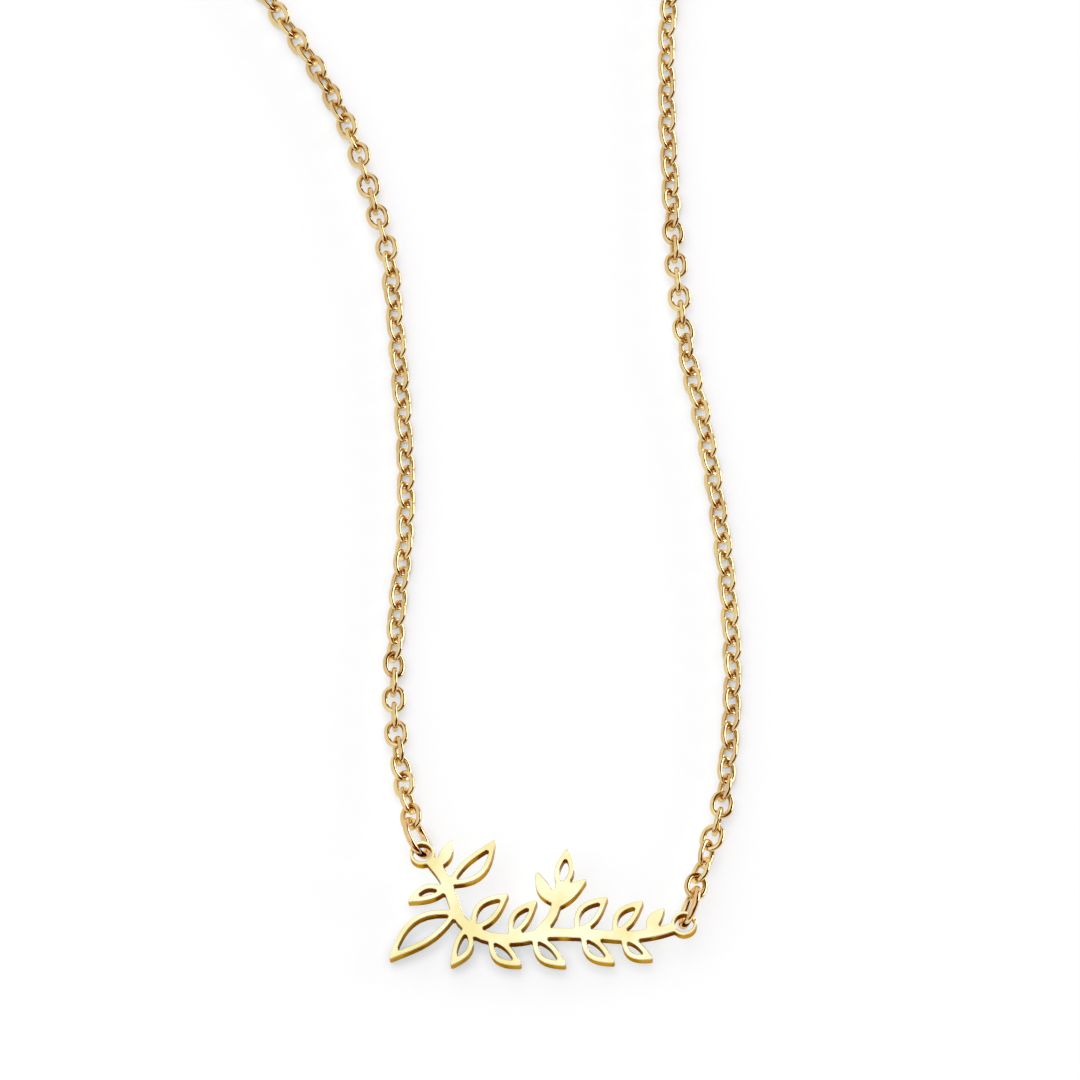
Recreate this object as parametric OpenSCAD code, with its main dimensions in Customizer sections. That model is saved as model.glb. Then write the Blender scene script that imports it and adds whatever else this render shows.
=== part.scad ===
/* [Name plate] */
// Distance across from the left eye to the right eye
plate_w = 22.7; // [18:0.1:30]
// How far the right eye sits below the left eye
plate_fall = 6.8; // [5:0.1:9]
// Height from the left eye down to the foot of the sprig
plate_h = 10.6; // [9:0.1:14]
// Thickness of the metal sheet
plate_t = 1.1; // [0.8:0.05:1.2]
// Width of the stem at its thick end
stem_w = 0.95; // [0.8:0.05:1.2]
// Width of the stem at its thin end
stem_end_w = 0.8; // [0.6:0.05:1]
// Metal left round the opening of a pierced leaf
leaf_rim = 0.45; // [0.36:0.01:0.5]
// Radius that rounds the leaf tips
tip_r = 0.16; // [0.1:0.02:0.18]
// Radius that fills the corners where strokes meet
corner_r = 0.15; // [0.08:0.01:0.2]

/* [Eyes] */
// Bore of each eye
eye_hole = 1.66; // [1.6:0.02:2]
// Wall of metal round the bore
eye_wall = 0.27; // [0.22:0.01:0.35]

/* [Jump rings] */
// Outer diameter of a jump ring
ring_od = 4; // [3.8:0.1:5]
// Wire diameter of a jump ring
ring_wire = 0.6; // [0.5:0.01:0.65]
// Slope of the left jump ring from the surface, in degrees
left_lean = 61; // [58:1:66]
// Slope of the right jump ring from the surface, in degrees
right_lean = 72; // [66:1:78]
// Slope of the end ring from the surface, in degrees
end_lean = 60; // [50:1:70]

/* [Chain] */
// Length of a link over its ends
link_l = 2.75; // [2.6:0.05:3.2]
// Width of a link over its sides
link_w = 2.04; // [1.9:0.02:2.3]
// Wire diameter of a link
link_wire = 0.43; // [0.36:0.01:0.46]
// Clearance between two links that hang in each other
wire_gap = 0.15; // [0.12:0.01:0.18]
// Clearance between the last link and what it hangs in
hang_gap = 0.18; // [0.15:0.01:0.22]

/* [Clasp] */
// Outer diameter of the clasp's ring
clasp_od = 6; // [5.5:0.1:7]
// Diameter of the clasp's tube
clasp_tube = 1.2; // [1:0.05:1.4]
// Bore of the small eye that the left strand hangs in
clasp_hole = 1.3; // [1.1:0.05:1.6]
// Thickness of the small eye's bar
clasp_bar = 0.6; // [0.5:0.05:0.7]
// Diameter of the thumb stud
stud_d = 0.7; // [0.5:0.05:0.9]
// Height of the thumb stud above the tube
stud_h = 0.6; // [0.4:0.05:1]

/* [Hidden] */

// Route of the two strands over the surface, left and right, each from the plate up to the clasp
ROUTE = [
    [
        [-8, -69], [-8.7, -64], [-8.9, -58.5], [-8.6, -51], [-8.1, -45.5], [-8, -38.5], [-8.4, -31],
        [-9.1, -22.5], [-9.8, -15.5], [-11.3, -9.5], [-13.3, -2.5], [-16.7, 5], [-21, 12.2], [-26.4, 21.5],
        [-31, 32.5], [-33.4, 44.5], [-32.8, 57], [-28.6, 69], [-21, 77.8], [-11.5, 82.9]
    ],
    [
        [18.5, -76.5], [19.3, -74], [20, -71], [20.7, -64.5], [21, -57], [20.6, -49], [19.8, -41],
        [18.6, -32.5], [17.2, -25], [16.3, -15.5], [15.9, -6], [15.7, 1], [16, 12], [18.4, 20],
        [22.8, 28], [28, 36], [32.2, 45], [33.4, 56.5], [30.2, 68], [23.2, 76.6], [13.5, 82.3]
    ]
];
// Where the left eye and the middle of the clasp lie on the surface
plate_place = [-6.2, -76.8];
clasp_place = [1, 84.5];
// Direction in which each jump ring reaches from its eye, in degrees
left_turn = 106;
right_turn = 75;
// Twist of each strand: a link's number counted from the plate, and the strand's turn there in degrees
TWIST = [
    [[2, -36], [5, -90], [7, -90], [11, -45], [31, -45], [36, 0], [38, 0], [43, -45]],
    [[3, 84], [5, 100], [7, 135], [30, 135], [35, 90], [37, 90], [42, 135]]
];
// Links over which a strand turns to suit the clasp
end_links = 6;
// Links over which the end of a strand comes down to the surface
drop_links = 7;

// Stem of the sprig from its top beside the left eye to the right eye, and the shoot that rises from it:
// across in shares of plate_w, up in shares of plate_h
STEM = [
    [0.035, -0.068], [0.084, -0.217], [0.115, -0.396], [0.15, -0.585], [0.233, -0.72], [0.352, -0.755],
    [0.485, -0.71], [0.634, -0.72], [0.775, -0.745], [0.89, -0.715], [0.965, -0.67]
];
SHOOT = [[0.436, -0.725], [0.5, -0.55], [0.53, -0.28]];
// Leaves: foot and tip across in shares of plate_w, up in shares of plate_h,
// then width and bend in shares of plate_h, and whether the leaf is pierced
// foot across, foot up, tip across, tip up, width, bend, pierced
LEAVES = [
    [0.137, -0.51, -0.128, -0.93, 0.25, -0.05, true],
    [0.097, -0.28, 0.282, 0.12, 0.2, -0.05, true],
    [0.06, -0.13, 0.115, 0.125, 0.105, -0.01, false],
    [0.1, -0.32, -0.06, -0.43, 0.14, -0.03, true],
    [0.172, -0.63, 0.106, -0.99, 0.16, 0.04, true],
    [0.19, -0.68, 0.335, -0.36, 0.2, 0.03, true],
    [0.255, -0.735, 0.385, -0.99, 0.17, -0.03, true],
    [0.335, -0.745, 0.445, -0.42, 0.16, 0.03, true],
    [0.423, -0.725, 0.555, -1, 0.17, -0.03, true],
    [0.508, -0.46, 0.435, -0.16, 0.11, 0.02, false],
    [0.508, -0.5, 0.636, -0.24, 0.12, 0.02, false],
    [0.526, -0.34, 0.555, 0.03, 0.16, -0.01, true],
    [0.585, -0.715, 0.714, -0.4, 0.19, 0.03, true],
    [0.608, -0.715, 0.74, -0.98, 0.165, -0.03, true],
    [0.73, -0.735, 0.85, -0.44, 0.17, 0.03, true],
    [0.76, -0.74, 0.885, -0.95, 0.15, -0.03, true],
    [0.86, -0.725, 0.93, -0.5, 0.11, 0.02, false]
];
// Below 1 the widest place of a leaf lies nearer to its foot
leaf_swell = 0.88;

// Numbers of facets and steps
bend_fn = 24;
wire_fn = 16;
bore_fn = 48;
corner_fn = 14;
leaf_steps = 10;
stem_steps = 4;
route_steps = 6;

ring_r = (ring_od - ring_wire) / 2;
eye_r = eye_hole / 2 + eye_wall;
link_r = (link_w - link_wire) / 2;
pitch_max = link_l - 2 * link_wire - wire_gap;
// From the middle of the last link to the middle of the wire that it hangs in
ring_hang = (link_l - ring_wire) / 2 - link_wire - hang_gap;
bar_hang = (link_l - clasp_bar) / 2 - link_wire - hang_gap;

// The plate stands on its foot, and its eyes lie on the wires of the jump rings
eye_lift = 2 * ring_wire;
eye_span = norm([plate_w, plate_fall]);
eye_slope = atan2(plate_fall, plate_w);
foot_reach = -(LEAVES[0][3] * plate_h * plate_w + LEAVES[0][2] * plate_w * plate_fall) / eye_span;
plate_tilt = asin(eye_lift / foot_reach);
eye_places = [[0, 0], [plate_w, -plate_fall]];
eye_middles = [for (e = eye_places) plate_point(concat(e, plate_t / 2))];

// Turns a point of the plate about the line through its eyes and sets it in its place
function plate_point(p) =
    let (
        along = p[0] * cos(eye_slope) - p[1] * sin(eye_slope),
        back = p[0] * sin(eye_slope) + p[1] * cos(eye_slope),
        level = back * cos(plate_tilt) - p[2] * sin(plate_tilt)
    )
    [
        plate_place[0] + along * cos(eye_slope) + level * sin(eye_slope),
        plate_place[1] - along * sin(eye_slope) + level * cos(eye_slope),
        eye_lift + back * sin(plate_tilt) + p[2] * cos(plate_tilt)
    ];

// Middle of a ring that stands on the surface and passes through point m, reaching out at turn
function ring_middle(m, turn, roll) =
    let (
        height = ring_r * abs(sin(roll)) + ring_wire / 2,
        rise = asin((m[2] - height) / (ring_r * sin(roll))),
        out = ring_r * cos(rise),
        side = ring_r * sin(rise) * cos(roll)
    )
    [
        m[0] + out * cos(turn) + side * sin(turn),
        m[1] + out * sin(turn) - side * cos(turn),
        height
    ];
// Far end of a ring, where the chain hangs in it
function ring_end(c, turn) = c + ring_r * [cos(turn), sin(turn), 0];

left_ring = ring_middle(eye_middles[0], left_turn, left_lean);
right_ring = ring_middle(eye_middles[1], right_turn, -right_lean);

// The clasp rests on the wires that pass below its tube and its small eye
tube_reach = (clasp_od - clasp_tube) / 2;
eye_reach = (clasp_od + clasp_hole + clasp_bar) / 2;
bar_reach = eye_reach + (clasp_hole + clasp_bar) / 2;
tube_up = ring_wire + hang_gap + clasp_tube / 2;
bar_up = link_wire + hang_gap + clasp_bar / 2;
clasp_tilt = asin((tube_up - bar_up) / (tube_reach + bar_reach));
clasp_up = bar_up + bar_reach * sin(clasp_tilt);
tube_place = clasp_place + [tube_reach * cos(clasp_tilt), 0];
bar_place = clasp_place - [bar_reach * cos(clasp_tilt), 0];
// The end ring stands astride the clasp's tube
end_middle = concat(tube_place, ring_r * sin(end_lean) + ring_wire / 2);

// Where each strand starts and ends, its turn at both ends and its hang at the clasp
strand_starts = [ring_end(left_ring, left_turn), ring_end(right_ring, right_turn)];
strand_ends = [concat(bar_place, link_w / 2), ring_end(end_middle, 0)];
start_turns = [left_lean - 90, 90 - right_lean];
end_rolls = [90, 90 - end_lean];
end_hangs = [bar_hang, ring_hang];

function curve_at(a, b, c, d, t) =
    (2 * b + (c - a) * t + (2 * a - 5 * b + 4 * c - d) * t * t + (3 * b - a - 3 * c + d) * t * t * t) / 2;
// Smooth curve through the points p
function curve(p, steps) =
    let (
        n = len(p),
        q = concat([2 * p[0] - p[1]], p, [2 * p[n - 1] - p[n - 2]])
    )
    concat(
        [for (i = [0:n - 2], j = [0:steps - 1]) curve_at(q[i], q[i + 1], q[i + 2], q[i + 3], j / steps)],
        [p[n - 1]]
    );
// Distance along the curve c up to each of its points
function lengths(c) =
    [for (i = 0, s = 0; i < len(c); s = s + (i + 1 < len(c) ? norm(c[i + 1] - c[i]) : 0), i = i + 1) s];
function flat(p) = [p[0], p[1]];
function plate_points(list) = [for (p = list) [p[0] * plate_w, p[1] * plate_h]];
function nearest(a, b) = a - 180 * round((a - b) / 180);

// Outline of a stroke along the curve c that narrows evenly from w0 to w1
function side_points(c, w0, w1, side) =
    let (n = len(c) - 1)
    [
        for (i = [0:n])
            let (
                d = c[min(i + 1, n)] - c[max(i - 1, 0)],
                w = (w0 + (w1 - w0) * i / n) / 2
            )
            c[i] + side * w * [-d[1], d[0]] / norm(d)
    ];
module stroke(c, w0, w1) {
    right = side_points(c, w0, w1, -1);
    left = side_points(c, w0, w1, 1);
    polygon(concat(right, [for (i = [len(left) - 1:-1:0]) left[i]]));
    translate(c[0]) circle(d = w0, $fn = corner_fn);
    translate(c[len(c) - 1]) circle(d = w1, $fn = corner_fn);
}

// Half width of a leaf of width w at share t of its length
function leaf_half(w, t) = w / 2 * sin(180 * pow(t, leaf_swell));
module leaf(row) {
    foot = [row[0] * plate_w, row[1] * plate_h];
    d = [row[2] * plate_w, row[3] * plate_h] - foot;
    across = [-d[1], d[0]] / norm(d);
    shares = [for (i = [0:leaf_steps]) i / leaf_steps];
    middle = [for (t = shares) foot + d * t + across * 4 * t * (1 - t) * row[5] * plate_h];
    half = [for (t = shares) across * leaf_half(row[4] * plate_h, t)];
    right = [for (i = [0:leaf_steps]) middle[i] - half[i]];
    left = [for (i = [leaf_steps - 1:-1:1]) middle[i] + half[i]];
    polygon(concat(right, left));
}

module sprig() {
    difference() {
        union() {
            stroke(curve(plate_points(STEM), stem_steps), stem_w, stem_end_w);
            stroke(curve(plate_points(SHOOT), stem_steps), stem_end_w, stem_end_w);
            for (row = LEAVES) leaf(row);
            for (e = eye_places) translate(e) circle(r = eye_r, $fn = bore_fn);
        }
        for (row = LEAVES) if (row[6]) offset(r = -leaf_rim, $fn = corner_fn) leaf(row);
    }
}

module name_plate() {
    color("#F2DC8A")
    translate([plate_place[0], plate_place[1], eye_lift])
    rotate([0, 0, -eye_slope])
    rotate([plate_tilt, 0, 0])
    rotate([0, 0, eye_slope])
    difference() {
        linear_extrude(plate_t)
        offset(r = -corner_r, $fn = corner_fn)
        offset(r = corner_r + tip_r, $fn = corner_fn)
        offset(delta = -tip_r)
        sprig();
        for (e = eye_places)
            translate([e[0], e[1], -plate_t / 2])
            cylinder(d = eye_hole, h = 2 * plate_t, $fn = bore_fn);
    }
}

module wire_ring(c, turn, roll) {
    translate(c)
    rotate([0, 0, turn])
    rotate([roll, 0, 0])
    rotate_extrude($fn = bore_fn)
    translate([ring_r, 0])
    circle(d = ring_wire, $fn = wire_fn);
}
module jump_ring_left() {
    color("#E3BC7C") wire_ring(left_ring, left_turn, left_lean);
}
module jump_ring_right() {
    color("#E3BC7C") wire_ring(right_ring, right_turn, -right_lean);
}
module end_ring() {
    color("#E3BC7C") wire_ring(end_middle, 0, end_lean);
}

// A link lies along X with two round ends and two straight sides
module link() {
    half = (link_l - link_w) / 2;
    for (turn = [0, 180])
        rotate([0, 0, turn]) {
            translate([half, 0, 0])
            rotate([0, 0, -90])
            rotate_extrude(angle = 180, $fn = bend_fn)
            translate([link_r, 0])
            circle(d = link_wire, $fn = wire_fn);
            translate([-half, link_r, 0])
            rotate([0, 90, 0])
            cylinder(d = link_wire, h = 2 * half, $fn = wire_fn);
        }
}

// Links of strand k follow its route, each a quarter turn on from the one before
module strand(k) {
    c = curve(concat([flat(strand_starts[k])], ROUTE[k], [flat(strand_ends[k])]), route_steps);
    s = lengths(c);
    x_along = [for (i = [0:len(c) - 1]) [s[i], c[i][0]]];
    y_along = [for (i = [0:len(c) - 1]) [s[i], c[i][1]]];
    span = s[len(s) - 1] - ring_hang - end_hangs[k];
    gaps = ceil(span / pitch_max);
    pitch = span / gaps;
    last_turn = nearest(end_rolls[k] - 90 * gaps, TWIST[k][len(TWIST[k]) - 1][1]);
    turns = concat(
        [[0, start_turns[k]]],
        [for (row = TWIST[k]) if (row[0] < gaps - end_links) row],
        [[gaps - end_links, TWIST[k][len(TWIST[k]) - 1][1]], [gaps, last_turn]]
    );
    function up(i) =
        let (
            turn = lookup(i, turns),
            low = link_r * max(abs(sin(turn)), abs(cos(turn))) + link_wire / 2,
            near = max(0, 1 - (i + ring_hang / pitch) / drop_links),
            far = max(0, 1 - (gaps - i + end_hangs[k] / pitch) / drop_links)
        )
        low + (strand_starts[k][2] - low) * near * near + (strand_ends[k][2] - low) * far * far;
    function place(i) = let (at = ring_hang + i * pitch) [lookup(at, x_along), lookup(at, y_along), up(i)];
    for (i = [0:gaps]) {
        d = place(i + 0.5) - place(i - 0.5);
        translate(place(i))
        rotate([0, -asin(d[2] / norm(d)), atan2(d[1], d[0])])
        rotate([lookup(i, turns) + 90 * i, 0, 0])
        link();
    }
}
module chain_left() {
    color("#D9B25C") strand(0);
}
module chain_right() {
    color("#D9B25C") strand(1);
}

// One plain piece: a ring of tube, a small eye on its left side and a thumb stud on top
module clasp() {
    color("#E3BC7C")
    translate([clasp_place[0], clasp_place[1], clasp_up])
    rotate([0, -clasp_tilt, 0]) {
        rotate_extrude($fn = bore_fn)
        translate([tube_reach, 0])
        circle(d = clasp_tube, $fn = bend_fn);
        translate([-eye_reach, 0, 0])
        rotate_extrude($fn = bore_fn)
        translate([(clasp_hole + clasp_bar) / 2, 0])
        circle(d = clasp_bar, $fn = bend_fn);
        translate([0, tube_reach, 0])
        cylinder(d = stud_d, h = clasp_tube / 2 + stud_h, $fn = bend_fn);
    }
}

name_plate();
jump_ring_left();
jump_ring_right();
chain_left();
chain_right();
clasp();
end_ring();
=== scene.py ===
"""A gold-tone necklace with an openwork plate, lying as a closed loop on a pale studio floor.

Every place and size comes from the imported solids. The classes below give each of them its fine
form and its finish: the plate with buffed edges, links of wire that rolling has pressed a little
flat, rings with a sheared seam, and the gold plating on all of them.
"""
import logging
import math
from dataclasses import dataclass
from enum import Enum
from typing import Any, Sequence

import bmesh
import bpy
import numpy as np
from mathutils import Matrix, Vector
from mathutils.geometry import tessellate_polygon


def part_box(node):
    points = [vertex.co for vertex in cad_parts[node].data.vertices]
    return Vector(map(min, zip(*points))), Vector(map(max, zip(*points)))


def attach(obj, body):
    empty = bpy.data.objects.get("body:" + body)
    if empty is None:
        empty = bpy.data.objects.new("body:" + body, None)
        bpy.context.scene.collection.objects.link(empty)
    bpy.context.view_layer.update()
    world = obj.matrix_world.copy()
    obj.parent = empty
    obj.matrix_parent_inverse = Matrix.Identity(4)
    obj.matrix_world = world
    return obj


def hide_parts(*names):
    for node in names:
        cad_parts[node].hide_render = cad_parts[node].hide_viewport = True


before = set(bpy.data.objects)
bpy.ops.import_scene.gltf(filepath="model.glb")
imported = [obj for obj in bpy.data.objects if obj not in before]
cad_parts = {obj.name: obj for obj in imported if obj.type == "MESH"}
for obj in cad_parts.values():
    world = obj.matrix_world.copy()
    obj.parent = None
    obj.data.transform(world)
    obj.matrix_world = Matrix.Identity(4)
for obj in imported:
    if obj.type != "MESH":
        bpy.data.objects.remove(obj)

LOG = logging.getLogger("necklace")
MM = 0.001
BODY = "root"
GRAIN = "grain_mm"
TONE_AND_SHADE = "tone"
CREASE_SHADE = "crease_shade"
SEED = 7
TINY = 1e-20


class Strand(Enum):
    """The two strands of chain, by the nodes that hold their links."""

    LEFT = "chain_left"
    RIGHT = "chain_right"


class Grain(Enum):
    """Where a finish reads the place of its fine lines and soft waves."""

    OWN = "own"
    OBJECT = "object"


def linear(code: str) -> tuple[float, float, float, float]:
    """Turns an sRGB hex colour into the linear colour that a shader takes.

    Args:
        code: The colour, such as #F2DC8A.

    Returns:
        Red, green, blue and alpha.
    """
    shares = [int(code[i:i + 2], 16) / 255 for i in (1, 3, 5)]
    parts = [s / 12.92 if s <= 0.04045 else ((s + 0.055) / 1.055) ** 2.4 for s in shares]
    return (parts[0], parts[1], parts[2], 1.0)


def add_node(tree: bpy.types.NodeTree, kind: str, inputs: dict[Any, Any],
             **settings: Any) -> bpy.types.Node:
    """Adds a node with its settings and links.

    Args:
        tree: The tree that the node joins.
        kind: The node's type.
        inputs: What each input gets, by name or number: a value, or the socket that feeds it.
        **settings: The node's own settings.

    Returns:
        The node.
    """
    node = tree.nodes.new(kind)
    for name, value in settings.items():
        setattr(node, name, value)
    for key, value in inputs.items():
        if isinstance(value, bpy.types.NodeSocket):
            tree.links.new(value, node.inputs[key])
        else:
            node.inputs[key].default_value = value
    return node


def within(node: str, points: np.ndarray) -> np.ndarray:
    """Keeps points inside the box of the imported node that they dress.

    Args:
        node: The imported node's name.
        points: The points in metres, one row each.

    Returns:
        The points, moved onto the box's sides where they lay a little outside it.
    """
    low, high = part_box(node)
    return np.clip(points, low, high)


def make_object(name: str, points: np.ndarray,
                faces: Sequence[Sequence[int]]) -> bpy.types.Object:
    """Makes a smooth-shaded mesh object and links it to the scene.

    Args:
        name: The object's name.
        points: Its vertices in metres, one row each.
        faces: Its faces, as vertex numbers.

    Returns:
        The object.
    """
    mesh = bpy.data.meshes.new(name)
    mesh.from_pydata(points.tolist(), [], faces)
    mesh.polygons.foreach_set("use_smooth", [True] * len(mesh.polygons))
    mesh.update()
    made = bpy.data.objects.new(name, mesh)
    bpy.context.scene.collection.objects.link(made)
    return made


def set_values(made: bpy.types.Object, name: str, kind: str, values: np.ndarray) -> None:
    """Stores one value for each vertex of a mesh.

    Args:
        made: The object.
        name: The attribute's name.
        kind: FLOAT, or FLOAT_VECTOR for three numbers.
        values: One row for each vertex.
    """
    attribute = made.data.attributes.new(name, kind, "POINT")
    field = "vector" if kind == "FLOAT_VECTOR" else "value"
    attribute.data.foreach_set(field, values.astype(np.float32).ravel())


def tube_faces(rings: int, sides: int) -> np.ndarray:
    """Quads of a closed tube, whose vertices come ring by ring.

    Args:
        rings: Number of rings along the tube.
        sides: Number of vertices in each ring.

    Returns:
        One row of four vertex numbers for each quad.
    """
    i, j = np.meshgrid(np.arange(rings), np.arange(sides), indexing="ij")
    after, beside = (i + 1) % rings, (j + 1) % sides
    quads = [i * sides + j, after * sides + j, after * sides + beside, i * sides + beside]
    return np.stack(quads, -1).reshape(-1, 4)


@dataclass(frozen=True)
class WireSection:
    """The section of a round wire that rolling has pressed flat on two sides.

    Attributes:
        sides: Number of points round it.
        press: Its height as a share of its width.
        round_power: How full its round sides are, where 2 is a circle.
        flat_power: How flat its pressed sides are.
    """

    sides: int
    press: float
    round_power: float
    flat_power: float

    def points(self, wire: float) -> tuple[np.ndarray, np.ndarray]:
        """Makes the section.

        Args:
            wire: Half of the wire's width.

        Returns:
            Each point's place across the wire, and its height.
        """
        turn = np.linspace(0, math.tau, self.sides, endpoint=False) + math.pi / self.sides
        c, s = np.cos(turn), np.sin(turn)
        return (wire * np.sign(c) * np.abs(c) ** (2 / self.round_power),
                wire * self.press * np.sign(s) * np.abs(s) ** (2 / self.flat_power))


@dataclass(frozen=True)
class Solid:
    """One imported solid: where it lies and how it is turned, read from its mesh.

    Attributes:
        centre: The middle of its surface, in metres.
        axes: Its longest direction, its middle one and its thinnest one, as columns.
        points: Its vertices in metres, one row each.
    """

    centre: np.ndarray
    axes: np.ndarray
    points: np.ndarray

    def local(self) -> np.ndarray:
        """The solid's points along its own axes, from its centre."""
        return (self.points - self.centre) @ self.axes

    def placed(self, spots: np.ndarray) -> np.ndarray:
        """Points in metres, from places in millimetres along the solid's own axes."""
        return self.centre + spots * MM @ self.axes.T


class PackedNode:
    """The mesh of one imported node, welded, and split in its solids."""

    def __init__(self, name: str, weld_mm: float = 0.0008) -> None:
        """Reads the node.

        Args:
            name: The node's name.
            weld_mm: Vertices closer than this are one.
        """
        work = bmesh.new()
        work.from_mesh(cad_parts[name].data)
        bmesh.ops.remove_doubles(work, verts=work.verts, dist=weld_mm * MM)
        bmesh.ops.triangulate(work, faces=work.faces)
        work.verts.index_update()
        self.points = np.array([v.co for v in work.verts])
        self.triangles = np.array([[v.index for v in f.verts] for f in work.faces])
        self.labels = self._label(work)
        work.free()

    @staticmethod
    def _label(work: bmesh.types.BMesh) -> np.ndarray:
        """Finds out which vertices hang together.

        Args:
            work: The welded mesh.

        Returns:
            The number of the solid that each vertex belongs to.
        """
        labels = np.full(len(work.verts), -1)
        count = 0
        for start in work.verts:
            if labels[start.index] >= 0:
                continue
            labels[start.index] = count
            waiting = [start]
            while waiting:
                vertex = waiting.pop()
                for edge in vertex.link_edges:
                    other = edge.other_vert(vertex)
                    if labels[other.index] < 0:
                        labels[other.index] = count
                        waiting.append(other)
            count += 1
        return labels

    def corners(self) -> np.ndarray:
        """The three corners of each triangle, in metres."""
        return self.points[self.triangles]

    def solids(self) -> list[Solid]:
        """Works out each solid's centre and axes from the area of its surface.

        Returns:
            The solids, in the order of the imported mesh.
        """
        corners = self.corners()
        first, second = corners[:, 1] - corners[:, 0], corners[:, 2] - corners[:, 0]
        area = np.linalg.norm(np.cross(first, second), axis=1) / 2
        owner = self.labels[self.triangles[:, 0]]
        middles = corners.mean(1)
        found = []
        for number in range(self.labels.max() + 1):
            own = owner == number
            weight = area[own] / area[own].sum()
            centre = weight @ middles[own]
            arms = corners[own] - centre
            mean = middles[own] - centre
            # A triangle's second moment grows with its three corners' products and 9 of its middle's
            spread = (np.einsum("t,tci,tcj->ij", weight, arms, arms)
                      + 9 * np.einsum("t,ti,tj->ij", weight, mean, mean))
            axes = np.linalg.eigh(spread)[1][:, ::-1]
            axes[:, 2] *= np.sign(axes[2, 2]) or 1
            axes[:, 0] = np.cross(axes[:, 1], axes[:, 2])
            found.append(Solid(centre, axes, self.points[self.labels == number]))
        return found


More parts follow.
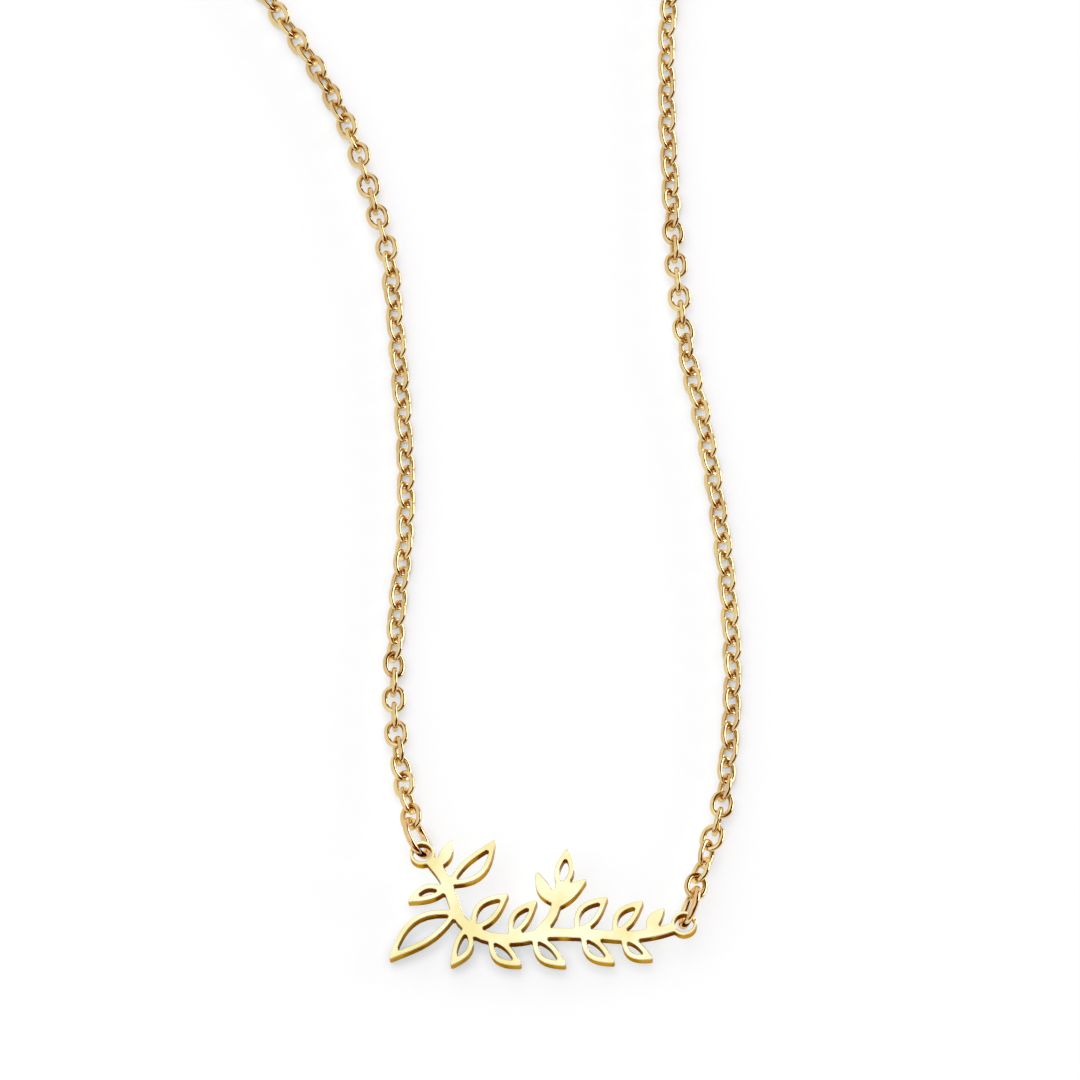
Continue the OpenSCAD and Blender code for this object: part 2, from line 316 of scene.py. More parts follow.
@dataclass(frozen=True)
class GoldPlating:
    """Thin gold plating on brass, whose fine surface keeps how the brass under it was made.

    The lines that real drawing, cutting and buffing leave are a few hundredths of a millimetre
    apart. They are drawn several times as coarse here, so that they show at all.

    Attributes:
        name: The finish, as a maker would call it.
        colour: The plating where it is brightest.
        shade: The plating in its duller clouds.
        roughness: How far it blurs what it mirrors.
        line_mm: Spacing of the fine lines.
        line_run: How many spacings a line runs along each axis of the piece's own grain.
        line_depth_mm: Depth of those lines.
        wave_mm: Length of the soft waves left by polishing.
        wave_depth_mm: Depth of those waves.
        rim: Its tint where it is seen at a flat angle.
        crease_shade: Painted shade in tight bends, a browner gold where gold mirrors gold, or empty
            without such.
        grain: Where the grain's place is read.
        cloud_share: Length of the duller clouds, as a share of the waves' length.
        tone_range: The pattern's values between which the colour goes from shade to colour.
        line_range: The pattern's values between which a line goes from smooth to rough.
        blur_range: The smooth and the rough blur, as shares of roughness.
    """

    name: str
    colour: str
    shade: str
    roughness: float
    line_mm: float
    line_run: tuple[float, float, float]
    line_depth_mm: float
    wave_mm: float
    wave_depth_mm: float
    rim: str = "#FFFFFF"
    crease_shade: str = ""
    grain: Grain = Grain.OWN
    cloud_share: float = 0.6
    tone_range: tuple[float, float] = (0.36, 0.64)
    line_range: tuple[float, float] = (0.3, 0.7)
    blur_range: tuple[float, float] = (0.75, 1.3)

    def _place(self, tree: bpy.types.NodeTree) -> bpy.types.NodeSocket:
        """Reads the place on the surface, along the piece's own axes.

        Args:
            tree: The material's tree.

        Returns:
            The place in millimetres.
        """
        if self.grain is Grain.OWN:
            return add_node(tree, "ShaderNodeAttribute", {}, attribute_name=GRAIN).outputs["Vector"]
        place = add_node(tree, "ShaderNodeTexCoord", {}).outputs["Object"]
        return add_node(tree, "ShaderNodeVectorMath", {0: place, "Scale": 1 / MM},
                        operation="SCALE").outputs[0]

    def _noise(self, tree: bpy.types.NodeTree, place: bpy.types.NodeSocket,
               lengths: Sequence[float], detail: float) -> bpy.types.NodeSocket:
        """Lays a soft random pattern at its real size.

        Args:
            tree: The material's tree.
            place: The place in millimetres.
            lengths: The pattern's length along each axis, in millimetres.
            detail: How many finer layers it holds.

        Returns:
            The pattern, from 0 to 1.
        """
        scales = tuple(1 / length for length in lengths)
        scaled = add_node(tree, "ShaderNodeVectorMath", {0: place, 1: scales}, operation="MULTIPLY")
        noise = add_node(tree, "ShaderNodeTexNoise",
                         {"Vector": scaled.outputs[0], "Scale": 1.0, "Detail": detail})
        return noise.outputs["Fac"]

    def _colour(self, tree: bpy.types.NodeTree,
                place: bpy.types.NodeSocket) -> bpy.types.NodeSocket:
        """Mixes the plating's tones: its random clouds, the piece's own tone, which is random on
        each link and painted shade and light on the plate's walls, and painted shade in its creases.

        Args:
            tree: The material's tree.
            place: The place in millimetres.

        Returns:
            The colour.
        """
        clouds = self._noise(tree, place, [self.wave_mm * self.cloud_share] * 3, 3.0)
        tone = add_node(tree, "ShaderNodeAttribute", {}, attribute_name=TONE_AND_SHADE).outputs["Fac"]
        mixed = add_node(tree, "ShaderNodeMath", {0: clouds, 1: tone}, operation="ADD").outputs[0]
        low, high = self.tone_range
        share = add_node(tree, "ShaderNodeMapRange", {0: mixed, 1: low, 2: high}).outputs[0]
        colour = add_node(tree, "ShaderNodeMix",
                          {0: share, 6: linear(self.shade), 7: linear(self.colour)},
                          data_type="RGBA").outputs[2]
        if not self.crease_shade:
            return colour
        # Painted shade: a browner gold in the bends that mirror other gold
        crease_shade_share = add_node(tree, "ShaderNodeAttribute", {}, attribute_name=CREASE_SHADE).outputs["Fac"]
        return add_node(tree, "ShaderNodeMix", {0: crease_shade_share, 6: colour, 7: linear(self.crease_shade)},
                        data_type="RGBA").outputs[2]

    def build(self) -> bpy.types.Material:
        """Makes the material.

        Returns:
            The material, ready for a slot.
        """
        material = bpy.data.materials.new(self.name)
        material.use_nodes = True
        tree = material.node_tree
        tree.nodes.clear()
        place = self._place(tree)
        lines = self._noise(tree, place, [self.line_mm * run for run in self.line_run], 2.0)
        waves = self._noise(tree, place, [self.wave_mm] * 3, 1.0)
        smooth, rough = (self.roughness * share for share in self.blur_range)
        low, high = self.line_range
        blur = add_node(tree, "ShaderNodeMapRange", {0: lines, 1: low, 2: high, 3: smooth, 4: rough})
        soft = add_node(tree, "ShaderNodeBump",
                        {"Height": waves, "Distance": self.wave_depth_mm * MM})
        fine = add_node(tree, "ShaderNodeBump",
                        {"Height": lines, "Distance": self.line_depth_mm * MM,
                         "Normal": soft.outputs["Normal"]})
        shader = add_node(tree, "ShaderNodeBsdfPrincipled",
                          {"Base Color": self._colour(tree, place), "Roughness": blur.outputs[0],
                           "Metallic": 1.0, "Specular Tint": linear(self.rim),
                           "Normal": fine.outputs["Normal"]})
        add_node(tree, "ShaderNodeOutputMaterial", {"Surface": shader.outputs["BSDF"]})
        return material


# Sheet buffed on a wheel: a near mirror with long soft waves, so the face changes tone slowly
BUFFED_SHEET = GoldPlating(
    "gold_plated_brass_buffed_sheet", colour="#FCF7D2", shade="#F0E4A6", roughness=0.10,
    line_mm=0.16, line_run=(1, 9, 9), line_depth_mm=0.0004, wave_mm=6.0, wave_depth_mm=0.07)
# Wall left by the cutter: lines through the sheet's thickness, and a deeper gold that is partly
# painted shade, with more painted shade in its creases
CUT_WALL = GoldPlating(
    "gold_plated_brass_cut_wall", colour="#D9B068", shade="#66401E", roughness=0.16,
    line_mm=0.14, line_run=(1, 1, 12), line_depth_mm=0.0014, wave_mm=4.5, wave_depth_mm=0.06,
    rim="#D8B272")
# Drawn wire, rolled a little flat and soldered into links: lines along the wire, tumbled bright,
# with painted shade, a browner gold, on the inside of the links' ends, where gold mirrors gold
DRAWN_WIRE = GoldPlating(
    "gold_plated_brass_drawn_wire", colour="#F1DDA5", shade="#E0C592", roughness=0.075,
    line_mm=0.09, line_run=(1, 1, 40), line_depth_mm=0.0002, wave_mm=0.9, wave_depth_mm=0.006,
    rim="#F2CF8E", crease_shade="#BE761A")
# Heavier wire of the rings, sheared at its seam, with a rosier plating
RING_WIRE = GoldPlating(
    "gold_plated_brass_sheared_ring_wire", colour="#F4DCA8", shade="#E4BE8C", roughness=0.07,
    line_mm=0.10, line_run=(1, 1, 40), line_depth_mm=0.0003, wave_mm=1.4, wave_depth_mm=0.008,
    rim="#F2D09A")
# Tube of the clasp, pressed and tumbled: no lines to speak of, soft dents
PRESSED_TUBE = GoldPlating(
    "gold_plated_brass_pressed_tube", colour="#F1D694", shade="#DDB66A", roughness=0.13,
    line_mm=0.3, line_run=(1, 1, 1), line_depth_mm=0.0008, wave_mm=1.8, wave_depth_mm=0.01,
    grain=Grain.OBJECT)


@dataclass
class NamePlate:
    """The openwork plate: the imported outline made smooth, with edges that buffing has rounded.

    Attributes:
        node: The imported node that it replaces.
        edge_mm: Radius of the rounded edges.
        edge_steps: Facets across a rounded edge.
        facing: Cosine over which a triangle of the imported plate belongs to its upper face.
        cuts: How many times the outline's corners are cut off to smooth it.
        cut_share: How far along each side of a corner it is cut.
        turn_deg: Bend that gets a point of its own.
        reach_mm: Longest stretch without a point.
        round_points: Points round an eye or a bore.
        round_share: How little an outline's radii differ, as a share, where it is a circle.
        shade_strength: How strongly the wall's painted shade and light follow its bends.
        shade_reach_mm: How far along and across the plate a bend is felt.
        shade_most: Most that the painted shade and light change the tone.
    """

    node: str = "name_plate"
    edge_mm: float = 0.07
    edge_steps: int = 4
    facing: float = 0.999
    cuts: int = 3
    cut_share: float = 0.25
    turn_deg: float = 6.0
    reach_mm: float = 0.16
    round_points: int = 96
    round_share: float = 0.03
    shade_strength: float = 0.27
    shade_reach_mm: float = 0.7
    shade_most: float = 0.17

    def _loops(self, packed: PackedNode, solid: Solid) -> list[np.ndarray]:
        """Follows the edges of the upper face.

        Args:
            packed: The plate's node.
            solid: Its one solid.

        Returns:
            The closed outlines, each as vertex numbers in order, with the metal on their left.
        """
        corners = packed.corners()
        normals = np.cross(corners[:, 1] - corners[:, 0], corners[:, 2] - corners[:, 0])
        normals /= np.linalg.norm(normals, axis=1)[:, None] + TINY
        upper = packed.triangles[normals @ solid.axes[:, 2] > self.facing]
        edges = {(int(t[i]), int(t[(i + 1) % 3])) for t in upper for i in range(3)}
        following = {a: b for a, b in edges if (b, a) not in edges}
        loops = []
        while following:
            start, here = following.popitem()
            loop = [start]
            while here != start:
                loop.append(here)
                here = following.pop(here)
            loops.append(np.array(loop))
        return loops

    def _smooth(self, outline: np.ndarray) -> np.ndarray:
        """Makes an outline of straight facets a smooth curve.

        Args:
            outline: Its points in the sheet's plane, in millimetres.

        Returns:
            The smooth outline, with points close together only where it bends.
        """
        middle = outline.mean(0)
        radii = np.linalg.norm(outline - middle, axis=1)
        if radii.std() < self.round_share * radii.mean():
            turn = np.linspace(0, math.tau, self.round_points, endpoint=False)
            way_round = np.sign(np.cross(outline, np.roll(outline, -1, 0)).sum())
            circle = np.stack([np.cos(turn), np.sin(turn) * way_round], 1)
            return middle + radii.max() * circle
        far, near = 1 - self.cut_share, self.cut_share
        for _ in range(self.cuts):
            after = np.roll(outline, -1, 0)
            cut = [far * outline + near * after, near * outline + far * after]
            outline = np.stack(cut, 1).reshape(-1, 2)
        kept = [outline[0]]
        way = outline[1] - outline[0]
        for here, after in zip(outline[1:], np.roll(outline, -2, 0)):
            leg = after - here
            bend = abs(math.degrees(math.atan2(way[0] * leg[1] - way[1] * leg[0], way @ leg)))
            if bend > self.turn_deg or np.linalg.norm(here - kept[-1]) > self.reach_mm:
                kept.append(here)
                way = leg
        return np.array(kept)

    def _painted_wall_shade(self, outline: np.ndarray) -> np.ndarray:
        """Paints shade and light on the wall: darker in its creases, brighter on its bulges.

        Args:
            outline: Its points in the sheet's plane, in millimetres, with the metal on their left.

        Returns:
            The painted tone at each point, below 0 where its creases are shaded.
        """
        before, after = outline - np.roll(outline, 1, 0), np.roll(outline, -1, 0) - outline
        cross = before[:, 0] * after[:, 1] - before[:, 1] * after[:, 0]
        bend = np.arctan2(cross, (before * after).sum(1))
        apart = np.linalg.norm(outline[:, None] - outline[None], axis=2)
        gathered = np.exp(-(apart / self.shade_reach_mm) ** 2) @ bend
        return np.clip(self.shade_strength * gathered, -self.shade_most, self.shade_most)

    def _profile(self, half: float) -> list[tuple[float, float, float]]:
        """Makes the edge's section, from the upper face down to the lower one.

        Args:
            half: Half of the sheet's thickness, in millimetres.

        Returns:
            The inset and height of each of its points, in millimetres, and the surface's slope.
        """
        steps = range(self.edge_steps + 1)
        slopes = [math.radians(90 - 90 * k / self.edge_steps) for k in steps]
        upper = [(self.edge_mm * (1 - math.cos(slope)),
                  half - self.edge_mm * (1 - math.sin(slope)), slope) for slope in slopes]
        return upper + [(inset, -height, -slope) for inset, height, slope in reversed(upper)]

    @staticmethod
    def _outward(outline: np.ndarray) -> np.ndarray:
        """Finds the direction that points away from the metal.

        Args:
            outline: Its points in the sheet's plane, in millimetres, with the metal on their left.

        Returns:
            That direction at each point.
        """
        legs = np.roll(outline, -1, 0) - outline
        legs /= np.linalg.norm(legs, axis=1)[:, None]
        way = legs + np.roll(legs, 1, 0)
        return np.stack([way[:, 1], -way[:, 0]], 1) / np.linalg.norm(way, axis=1)[:, None]

    def build(self) -> bpy.types.Object:
        """Makes the plate.

        Returns:
            The plate's object, with its faces and walls in their finishes.
        """
        packed = PackedNode(self.node)
        solid = packed.solids()[0]
        own = (packed.points - solid.centre) @ solid.axes / MM
        profile = self._profile(float(np.abs(own[:, 2]).max()))
        wall_rings = (self.edge_steps, self.edge_steps + 1)
        points, normals, painted_shades, faces, walls = [], [], [], [], []
        rims: list[list[Vector]] = []
        rim_numbers: list[int] = []
        for loop in self._loops(packed, solid):
            outline = self._smooth(own[loop][:, :2])
            out = self._outward(outline)
            wall_shade = self._painted_wall_shade(outline)
            first, count = sum(len(ring) for ring in points), len(outline)
            for number, (inset, height, slope) in enumerate(profile):
                # The wall's rings get painted shade in creases and painted light on bulges
                painted_shades.append(wall_shade if number in wall_rings else np.zeros(count))
                points.append(np.column_stack([outline - out * inset, np.full(count, height)]))
                normals.append(np.column_stack([out * math.cos(slope),
                                                np.full(count, math.sin(slope))]))
            j = np.arange(count)
            for k in range(len(profile) - 1):
                a, b = first + k * count, first + (k + 1) * count
                quads = [a + j, b + j, b + (j + 1) % count, a + (j + 1) % count]
                faces += np.stack(quads, 1).tolist()
                walls += [k == self.edge_steps] * count
            rims.append([Vector((x, y, 0)) for x, y in outline - out * self.edge_mm])
            rim_numbers += (first + j).tolist()
        drop = [(len(profile) - 1) * len(rim) for rim in rims for _ in rim]
        flat = [corner for rim in rims for corner in rim]
        for a, b, c in tessellate_polygon(rims):
            turn = (flat[b] - flat[a]).cross(flat[c] - flat[a]).z
            upper = (a, b, c) if turn > 0 else (a, c, b)
            faces.append([rim_numbers[i] for i in upper])
            faces.append([rim_numbers[i] + drop[i] for i in reversed(upper)])
            walls += [False, False]
        spots, shading = np.concatenate(points), np.concatenate(normals)
        made = make_object("name_plate_sheet", within(self.node, solid.placed(spots)), faces)
        made.data.materials.append(BUFFED_SHEET.build())
        made.data.materials.append(CUT_WALL.build())
        made.data.polygons.foreach_set("material_index", np.array(walls, dtype=np.int32))
        made.data.normals_split_custom_set_from_vertices((shading @ solid.axes.T).tolist())
        set_values(made, GRAIN, "FLOAT_VECTOR", spots)
        set_values(made, TONE_AND_SHADE, "FLOAT", np.concatenate(painted_shades))
        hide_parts(self.node)
        return made


@dataclass
class WireRing:
    """A round ring of wire, closed at a sheared seam whose two ends don't quite line up.

    Attributes:
        node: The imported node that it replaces.
        seam_deg: Where round the ring its seam lies.
        steps: Points round the ring.
        section: The wire's section.
        step_mm: How far its two ends are out of line.
        notch_mm: Half of the width of the seam's groove.
        notch_share: Depth of the groove, as a share of half of the wire.
        notch_places: Where the groove's points lie, in halves of its width.
        notch_depths: How deep it is there, as a share of its depth.
        grain_mm: Reach of the grain's pattern along the wire.
    """

    node: str
    seam_deg: float
    steps: int = 96
    section: WireSection = WireSection(sides=24, press=0.97, round_power=2.0, flat_power=2.4)
    step_mm: float = 0.05
    notch_mm: float = 0.025
    notch_share: float = 0.16
    notch_places: tuple[float, ...] = (-2.0, -1.0, -0.4, 0.0, 0.4, 1.0, 2.0)
    notch_depths: tuple[float, ...] = (0.0, 0.12, 0.7, 1.0, 0.7, 0.12, 0.0)
    grain_mm: float = 2.0

    def build(self) -> bpy.types.Object:
        """Makes the ring.

        Returns:
            The ring's object.
        """
        solid = PackedNode(self.node).solids()[0]
        own = solid.local() / MM
        wire = float(np.abs(own[:, 2]).max())
        radius = float(np.linalg.norm(own[:, :2], axis=1).max()) - wire
        notch = np.array(self.notch_places) * self.notch_mm / radius
        depth = np.array(self.notch_depths) * self.notch_share
        bend = np.linspace(0, math.tau, self.steps + 1)[1:-1]
        turn = np.concatenate([notch, bend])
        thin = np.concatenate([1 - depth, np.ones(len(bend))])
        # The wire climbs evenly round the ring, so that its two ends meet a whole step apart
        climb = np.where(turn > 0, turn / math.tau - 0.5, 0)
        lift = self.step_mm * np.where(turn < 0, 0.5, climb)
        out, high = (thin[:, None] * part for part in self.section.points(wire))
        place = turn[:, None] + math.radians(self.seam_deg)
        spots = np.stack([(radius + out) * np.cos(place), (radius + out) * np.sin(place),
                          high + lift[:, None]], -1).reshape(-1, 3)
        made = make_object(f"{self.node}_wire", within(self.node, solid.placed(spots)),
                           tube_faces(len(turn), self.section.sides).tolist())
        made.data.materials.append(RING_WIRE.build())
        along = np.broadcast_to(np.cos(place), out.shape) * self.grain_mm
        set_values(made, GRAIN, "FLOAT_VECTOR", np.stack([out, high, along], -1).reshape(-1, 3))
        set_values(made, TONE_AND_SHADE, "FLOAT", np.zeros(len(spots)))
        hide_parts(self.node)
        return made


@dataclass
class ChainStrand:
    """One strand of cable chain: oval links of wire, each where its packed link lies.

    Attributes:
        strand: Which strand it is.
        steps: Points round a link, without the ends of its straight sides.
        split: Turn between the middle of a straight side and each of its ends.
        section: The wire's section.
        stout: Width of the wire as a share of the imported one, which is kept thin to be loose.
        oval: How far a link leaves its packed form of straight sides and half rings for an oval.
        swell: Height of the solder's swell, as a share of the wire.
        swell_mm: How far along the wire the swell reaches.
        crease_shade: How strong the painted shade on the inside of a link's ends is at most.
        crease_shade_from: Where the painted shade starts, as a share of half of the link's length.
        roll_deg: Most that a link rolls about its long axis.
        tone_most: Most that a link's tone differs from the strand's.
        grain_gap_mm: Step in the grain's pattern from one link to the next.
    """

    strand: Strand
    steps: int = 40
    split: float = 1e-6
    section: WireSection = WireSection(sides=16, press=0.93, round_power=2.0, flat_power=2.6)
    stout: float = 1.13
    oval: float = 0.5
    swell: float = 0.07
    swell_mm: float = 0.16
    crease_shade: float = 0.8
    crease_shade_from: float = 0.25
    roll_deg: float = 3.0
    tone_most: float = 0.12
    grain_gap_mm: float = 50.0

    def _template(self, link: Solid) -> tuple[np.ndarray, np.ndarray, np.ndarray]:
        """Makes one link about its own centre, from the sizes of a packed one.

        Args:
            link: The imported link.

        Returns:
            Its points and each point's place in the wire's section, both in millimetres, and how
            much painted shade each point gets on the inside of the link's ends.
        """
        own = np.abs(link.local()).max(0) / MM
        wire = own[2] * self.stout
        long, wide = own[0] - own[2], own[1] - own[2]
        evenly = np.linspace(0, math.tau, self.steps, endpoint=False) + math.pi / self.steps
        ends = [quarter * math.pi + side for quarter in (0.5, 1.5)
                for side in (-self.split, self.split)]
        turn = np.sort(np.concatenate([evenly, ends]))
        c, s = np.cos(turn), np.sin(turn)
        width = np.sqrt((long * c) ** 2 + (wide * s) ** 2)
        straight = np.sign(c) * (long - wide) + wide * c
        x = self.oval * long ** 2 * c / width + (1 - self.oval) * straight
        y = self.oval * wide ** 2 * s / width + (1 - self.oval) * wide * s
        joint = 1 + self.swell * np.exp(-(x / self.swell_mm) ** 2) * (y > 0)
        out, high = (joint[:, None] * part for part in self.section.points(wire))
        spots = np.stack([x[:, None] + out * c[:, None], y[:, None] + out * s[:, None], high], -1)
        section = np.stack([out, high, np.zeros_like(out)], -1)
        # Painted shade: a browner gold on the inside of the link's ends, where gold mirrors gold
        inward = np.clip(-out / wire, 0, 1)
        at_end = np.clip((np.abs(x) / long - self.crease_shade_from) / (1 - self.crease_shade_from), 0, 1)
        crease_shade = self.crease_shade * inward * at_end[:, None]
        return spots.reshape(-1, 3), section.reshape(-1, 3), crease_shade.ravel()

    def build(self) -> bpy.types.Object:
        """Makes the strand as one joined mesh.

        Returns:
            The strand's object.
        """
        node = self.strand.value
        links = PackedNode(node).solids()
        spots, section, crease_shade = self._template(links[0])
        quads = tube_faces(len(spots) // self.section.sides, self.section.sides)
        random = np.random.default_rng([SEED, list(Strand).index(self.strand)])
        points, faces, grain, tone = [], [], [], []
        for number, link in enumerate(links):
            flip = random.choice([-1.0, 1.0])
            roll = math.radians(random.uniform(-self.roll_deg, self.roll_deg))
            x, y, z = (spots * [flip, flip, 1.0]).T
            rolled = np.stack([x, y * math.cos(roll) - z * math.sin(roll),
                               y * math.sin(roll) + z * math.cos(roll)], 1)
            points.append(link.placed(rolled))
            faces.append(quads + number * len(spots))
            grain.append(section + [0, 0, self.grain_gap_mm * number])
            tone.append(np.full(len(spots), random.uniform(-self.tone_most, self.tone_most)))
        made = make_object(f"{node}_links", within(node, np.concatenate(points)),
                           np.concatenate(faces).tolist())
        made.data.materials.append(DRAWN_WIRE.build())
        set_values(made, GRAIN, "FLOAT_VECTOR", np.concatenate(grain))
        set_values(made, TONE_AND_SHADE, "FLOAT", np.concatenate(tone))
        set_values(made, CREASE_SHADE, "FLOAT", np.tile(crease_shade, len(links)))
        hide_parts(node)
        return made


@dataclass
class Clasp:
    """The plain closed clasp, which keeps its packed form and gets its plating.

    Attributes:
        node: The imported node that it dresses.
    """

    node: str = "clasp"

    def build(self) -> bpy.types.Object:
        """Dresses the clasp.

        Returns:
            The clasp's object.
        """
        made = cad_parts[self.node]
        made.data.materials.clear()
        made.data.materials.append(PRESSED_TUBE.build())
        return made


@dataclass(frozen=True)
class Panel:
    """A soft light or a dark card on the far wall of the room, bent to the wall's curve.

    Attributes:
        name: Which panel it is.
        azimuth_deg: Where its middle stands, counted from the necklace's right towards the clasp.
        elevation_deg: How high its middle stands over the floor.
        across_deg: Half of its width, as seen from the necklace.
        up_deg: Half of its height.
        edge_deg: Width of its soft edge.
        glow: Its brightness, where a white floor in full light is 1.
    """

    name: str
    azimuth_deg: float
    elevation_deg: float
    across_deg: float
    up_deg: float
    edge_deg: float
    glow: float

    def mask(self, tree: bpy.types.NodeTree, look: bpy.types.NodeSocket) -> bpy.types.NodeSocket:
        """Adds the nodes that tell how far a direction meets the panel.

        Args:
            tree: The room's tree.
            look: The direction.

        Returns:
            1 on the panel, 0 beside it.
        """
        c, s = math.cos(math.radians(self.azimuth_deg)), math.sin(math.radians(self.azimuth_deg))
        ahead, across = (add_node(tree, "ShaderNodeVectorMath", {0: look, 1: way},
                                  operation="DOT_PRODUCT").outputs["Value"]
                         for way in ((c, s, 0.0), (-s, c, 0.0)))
        height = add_node(tree, "ShaderNodeSeparateXYZ", {0: look}).outputs["Z"]
        turn = add_node(tree, "ShaderNodeMath", {0: across, 1: ahead}, operation="ARCTAN2")
        rise = add_node(tree, "ShaderNodeMath", {0: height}, operation="ARCSINE").outputs[0]
        lift = add_node(tree, "ShaderNodeMath", {0: rise, 1: math.radians(self.elevation_deg)},
                        operation="SUBTRACT")
        inside = []
        for angle, reach in ((turn, self.across_deg), (lift, self.up_deg)):
            far = add_node(tree, "ShaderNodeMath", {0: angle.outputs[0]}, operation="ABSOLUTE")
            limits = {0: far.outputs[0], 1: math.radians(reach),
                      2: math.radians(reach + self.edge_deg), 3: 1.0, 4: 0.0}
            inside.append(add_node(tree, "ShaderNodeMapRange", limits,
                                   interpolation_type="SMOOTHSTEP").outputs[0])
        return add_node(tree, "ShaderNodeMath", {0: inside[0], 1: inside[1]},
                        operation="MULTIPLY").outputs[0]


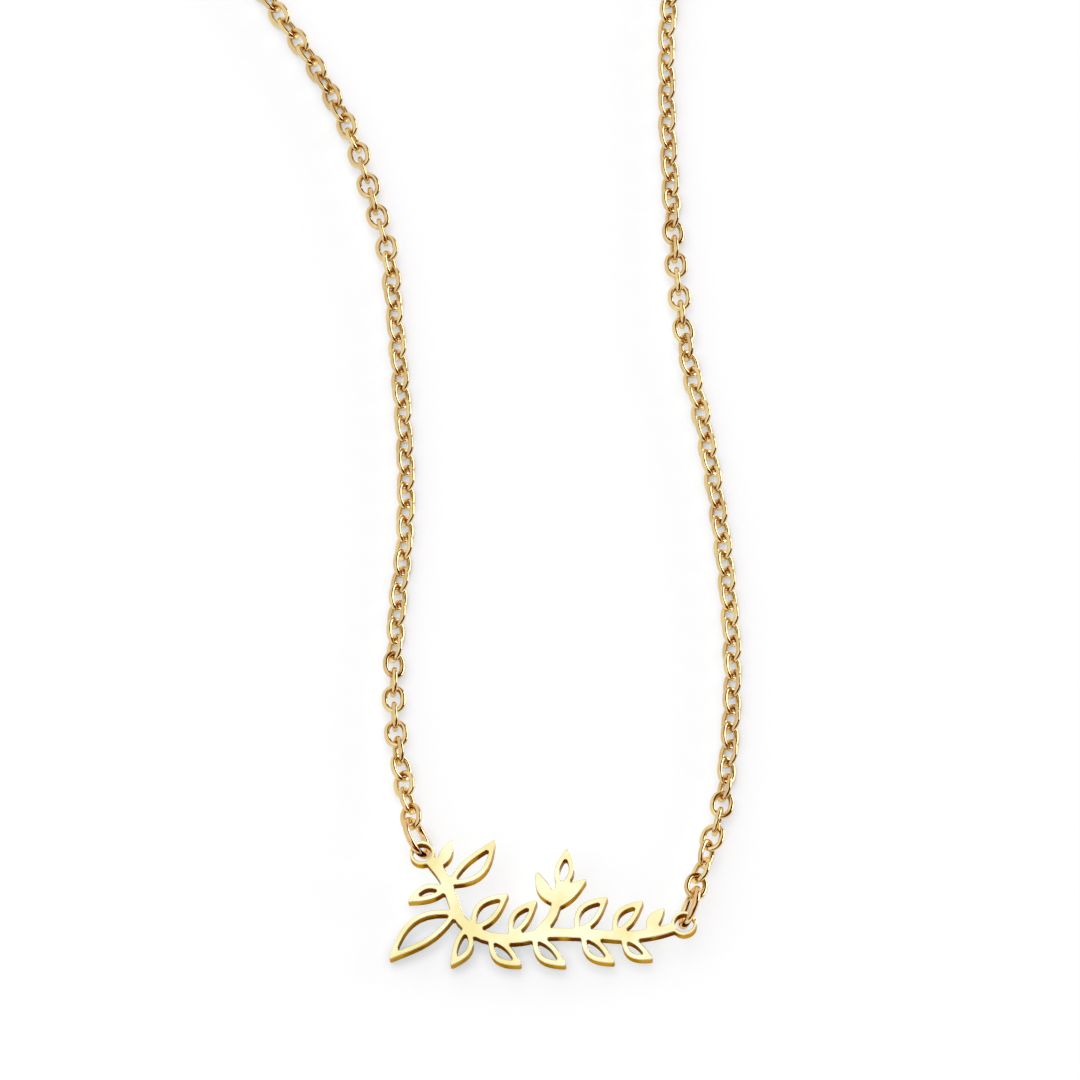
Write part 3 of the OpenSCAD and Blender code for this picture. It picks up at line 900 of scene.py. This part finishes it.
@dataclass
class Studio:
    """The white light table, the room round it and the camera at the photo's angle.

    Attributes:
        floor_mm: Side of the table.
        floor_drop_mm: How far it lies under the frame's zero, to stay clear of the lowest metal.
        floor_colour: The table's own matt white, dulled by as much as it glows.
        floor_roughness: How matt it is.
        glow_colour: Its glow from below, cool to make up for the warm room.
        floor_glow: Strength of that glow, where a white floor in full light is 1.
        painted_shadow_glow_colour: Its glow where the necklace closes it in, a painted shadow.
        shade_mm: How near the metal has to be to cast the painted shadow.
        shade_rays: Looks round for such metal, in each sample.
        room_low: The room's brightness at the height of the table.
        room_high: Its brightness from the wall's top upwards.
        wall_height: Height where the wall ends, as the sine of its elevation.
        darkest_tint: Colour of what glows least.
        tints: The next colours, and between which glows each of them comes in.
        look_mm: The point that the camera looks at.
        elevation_deg: How high the camera stands over the floor.
        distance_mm: How far it stands from that point.
        lens_mm: Its lens.
        film_mm: Width of its film.
        clip_m: Nearest and farthest that it sees.
        panels: The light panels and the dark cards, a later one in front of those before it.
    """

    floor_mm: float = 12000.0
    floor_drop_mm: float = 0.021
    floor_colour: str = "#C8C4B9"
    floor_roughness: float = 0.9
    glow_colour: str = "#EDF4FE"
    floor_glow: float = 0.713
    painted_shadow_glow_colour: str = "#8EA0B4"
    shade_mm: float = 1.1
    shade_rays: int = 4
    room_low: float = 0.8
    room_high: float = 0.88
    wall_height: float = 0.3
    darkest_tint: str = "#FF7F3C"
    tints: tuple[tuple[str, float, float], ...] = (("#FFB44A", 0.05, 0.5), ("#FFFFFF", 0.55, 0.8))
    look_mm: tuple[float, float, float] = (4.0, -44.5, 0.0)
    elevation_deg: float = 60.75
    distance_mm: float = 669.5
    lens_mm: float = 250.0
    film_mm: float = 36.0
    clip_m: tuple[float, float] = (0.01, 20.0)
    panels: tuple[Panel, ...] = (
        Panel("ceiling_lamp", azimuth_deg=0.0, elevation_deg=90.0,
              across_deg=180.0, up_deg=17.0, edge_deg=12.0, glow=1.12),
        Panel("brown_card_right", azimuth_deg=-8.0, elevation_deg=35.0,
              across_deg=66.0, up_deg=13.0, edge_deg=28.0, glow=0.08),
        Panel("brown_card_low", azimuth_deg=-50.0, elevation_deg=4.0,
              across_deg=60.0, up_deg=9.0, edge_deg=12.0, glow=0.08),
        Panel("softbox_right", azimuth_deg=30.0, elevation_deg=9.0,
              across_deg=18.0, up_deg=11.0, edge_deg=3.0, glow=5.0),
    )

    def _floor(self) -> None:
        """Lays the matt white table, glowing from below, with a painted shadow: its glow is weaker
        and cooler near the metal.
        """
        half = self.floor_mm / 2 * MM
        sides = [(-half, -half), (half, -half), (half, half), (-half, half)]
        points = np.array([(x, y, -self.floor_drop_mm * MM) for x, y in sides])
        made = make_object("floor", points, [(0, 1, 2, 3)])
        material = bpy.data.materials.new("white_acrylic_matt")
        material.use_nodes = True
        tree = material.node_tree
        tree.nodes.clear()
        # Painted shadow: the table's glow dims and cools where metal closes it in
        unshadowed_share = add_node(tree, "ShaderNodeAmbientOcclusion", {"Distance": self.shade_mm * MM},
                              samples=self.shade_rays).outputs["AO"]
        glow = add_node(tree, "ShaderNodeMix",
                        {0: unshadowed_share, 6: linear(self.painted_shadow_glow_colour),
                         7: linear(self.glow_colour)}, data_type="RGBA").outputs[2]
        shader = add_node(tree, "ShaderNodeBsdfPrincipled",
                          {"Base Color": linear(self.floor_colour),
                           "Roughness": self.floor_roughness, "Specular IOR Level": 0.0,
                           "Emission Color": glow, "Emission Strength": self.floor_glow})
        add_node(tree, "ShaderNodeOutputMaterial", {"Surface": shader.outputs["BSDF"]})
        made.data.materials.append(material)

    def _room(self) -> None:
        """Sets a pale room with its light panels and dark cards, whose darker parts are warm."""
        world = bpy.data.worlds.new("studio_room")
        world.use_nodes = True
        tree = world.node_tree
        tree.nodes.clear()
        look = add_node(tree, "ShaderNodeTexCoord", {}).outputs["Generated"]
        height = add_node(tree, "ShaderNodeSeparateXYZ", {0: look}).outputs["Z"]
        wall = {0: height, 1: 0.0, 2: self.wall_height, 3: self.room_low, 4: self.room_high}
        glow = add_node(tree, "ShaderNodeMapRange", wall,
                        interpolation_type="SMOOTHSTEP").outputs[0]
        for panel in self.panels:
            glow = add_node(tree, "ShaderNodeMix",
                            {0: panel.mask(tree, look), 2: glow, 3: panel.glow}).outputs[0]
        colour: Any = linear(self.darkest_tint)
        for tint, low, high in self.tints:
            share = add_node(tree, "ShaderNodeMapRange", {0: glow, 1: low, 2: high},
                             interpolation_type="SMOOTHSTEP").outputs[0]
            colour = add_node(tree, "ShaderNodeMix", {0: share, 6: colour, 7: linear(tint)},
                              data_type="RGBA").outputs[2]
        light = add_node(tree, "ShaderNodeBackground", {"Strength": glow, "Color": colour})
        add_node(tree, "ShaderNodeOutputWorld", {"Surface": light.outputs[0]})
        bpy.context.scene.world = world

    def _camera(self) -> None:
        """Stands the camera at the photo's angle, far away with a long lens."""
        data = bpy.data.cameras.new("camera")
        data.lens = self.lens_mm
        data.sensor_width = self.film_mm
        data.clip_start, data.clip_end = self.clip_m
        made = bpy.data.objects.new("camera", data)
        bpy.context.scene.collection.objects.link(made)
        elevation = math.radians(self.elevation_deg)
        way = Vector((0.0, -math.cos(elevation), math.sin(elevation)))
        made.location = (Vector(self.look_mm) + way * self.distance_mm) * MM
        made.rotation_euler = (math.pi / 2 - elevation, 0.0, 0.0)
        bpy.context.scene.camera = made

    def build(self) -> None:
        """Sets up the camera, the table and the room."""
        self._camera()
        self._floor()
        self._room()
        bpy.context.scene.view_settings.view_transform = "Standard"


def main() -> None:
    """Builds the studio and the necklace."""
    logging.basicConfig(level=logging.INFO, format="%(message)s")
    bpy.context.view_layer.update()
    Studio().build()
    parts = [
        NamePlate(),
        WireRing("jump_ring_left", seam_deg=150.0),
        WireRing("jump_ring_right", seam_deg=200.0),
        ChainStrand(Strand.LEFT),
        ChainStrand(Strand.RIGHT),
        Clasp(),
        WireRing("end_ring", seam_deg=120.0),
    ]
    for part in parts:
        made = part.build()
        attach(made, BODY)
        LOG.info("%s: %d faces", made.name, len(made.data.polygons))


if __name__ == "__main__":
    main()
